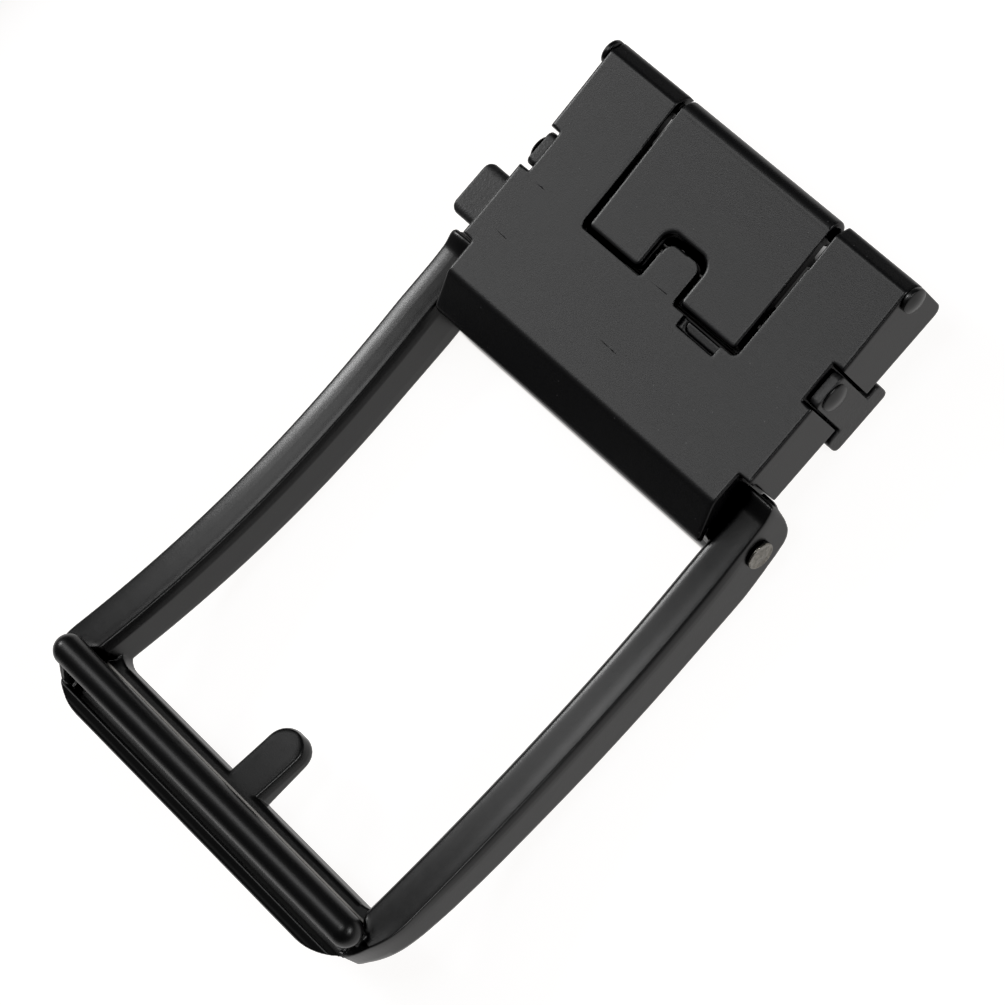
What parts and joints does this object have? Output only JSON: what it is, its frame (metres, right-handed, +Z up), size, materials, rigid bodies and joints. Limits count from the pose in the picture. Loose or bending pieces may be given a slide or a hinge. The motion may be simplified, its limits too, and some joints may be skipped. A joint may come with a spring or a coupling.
{
  "type": "belt buckle",
  "caption": "Automatic belt buckle: curved cast frame with rod and peg, hinged to a steel box with a hinged strap clamp, a ratchet lever and a side release tab",
  "frame": {"origin": "centre of the whole buckle's box in X and Y, on the surface that the buckle rests on", "axes": "+X along the strap from the rod end to the clamp end, +Y across the strap towards the release tab, +Z up towards the buckle's back"},
  "size_m": [0.076, 0.0471, 0.0134],
  "materials": {
    "black_casting": "satin black coating on cast zinc",
    "black_rod": "smooth satin black steel",
    "black_sheet": "finely speckled matt black coating on sheet steel",
    "black_pin": "satin black steel",
    "black_lever": "grained black steel",
    "rivet_steel": "turned steel face"
  },
  "bodies": {
    "housing": {"housing": "black_sheet", "flap_pin": "black_pin", "lever_pin": "black_pin"},
    "frame": {"frame": "black_casting", "guide_rod": "black_rod", "hinge_rivet_left": "rivet_steel", "hinge_rivet_right": "rivet_steel"},
    "flap": {"clamp_flap": "black_sheet"},
    "lever": {"release_lever": "black_lever"}
  },
  "joints": [
    {"name": "frame_hinge", "type": "hinge", "parent": "housing", "child": "frame", "pos_m": [0.01222, -0.0019, 0.0034], "axis": [0, -1, 0], "range_deg": [-5, 100]},
    {"name": "flap_hinge", "type": "hinge", "parent": "housing", "child": "flap", "pos_m": [0.03673, -0.0019, 0.0084], "axis": [0, 1, 0], "range_deg": [0, 95]},
    {"name": "lever_hinge", "type": "hinge", "parent": "housing", "child": "lever", "pos_m": [0.02633, -0.0019, 0.00718], "axis": [0, 1, 0], "range_deg": [0, 3], "stiffness_Nm_per_rad": 0.01, "springref_deg": -28.65}
  ]
}
